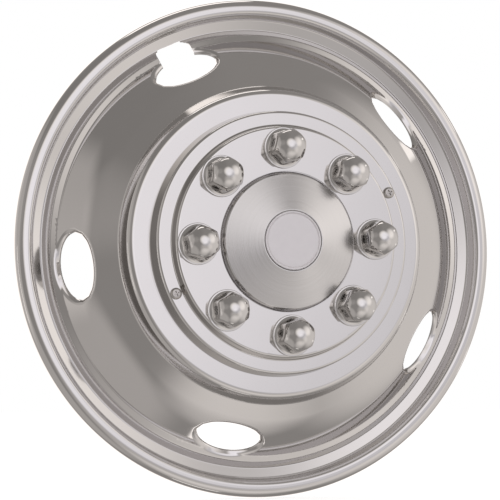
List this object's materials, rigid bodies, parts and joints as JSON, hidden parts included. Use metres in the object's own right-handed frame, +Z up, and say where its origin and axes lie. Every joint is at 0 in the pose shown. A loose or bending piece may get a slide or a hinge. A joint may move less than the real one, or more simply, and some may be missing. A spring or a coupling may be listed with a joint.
{
  "type": "wheel simulator",
  "caption": "Round pressed steel cover for a truck's front wheel: rolled lip, hand holes, valve notch, stepped hub cover, lug covers and a plain domed centre cap.",
  "frame": {"origin": "centre of the hub opening, on the back face of the flat flange that lies against the truck's wheel", "axes": "Y along the wheel's axle, with the front of the cover facing -Y; Z up and X to the right as seen from the front in the picture"},
  "size_m": [0.456, 0.114, 0.456],
  "materials": {
    "polished_steel": "mirror polished stainless sheet",
    "satin_steel": "fine circular satin brushing",
    "badge_face": "pale satin face, left plain",
    "plated_steel": "dull zinc plating"
  },
  "bodies": {
    "root": {"liner": "polished_steel", "hub_plate": "polished_steel", "center_cap": "satin_steel", "cap_retainer": "plated_steel", "badge": "badge_face", "lug_cover_1": "polished_steel", "lug_cover_2": "polished_steel", "lug_cover_3": "polished_steel", "lug_cover_4": "polished_steel", "lug_cover_5": "polished_steel", "lug_cover_6": "polished_steel", "lug_cover_7": "polished_steel", "lug_cover_8": "polished_steel", "push_ring_1": "plated_steel", "push_ring_2": "plated_steel", "push_ring_3": "plated_steel", "push_ring_4": "plated_steel", "push_ring_5": "plated_steel", "push_ring_6": "plated_steel", "push_ring_7": "plated_steel", "push_ring_8": "plated_steel", "screw_1": "plated_steel", "screw_2": "plated_steel", "screw_post_1": "plated_steel", "screw_post_2": "plated_steel"}
  },
  "joints": []
}
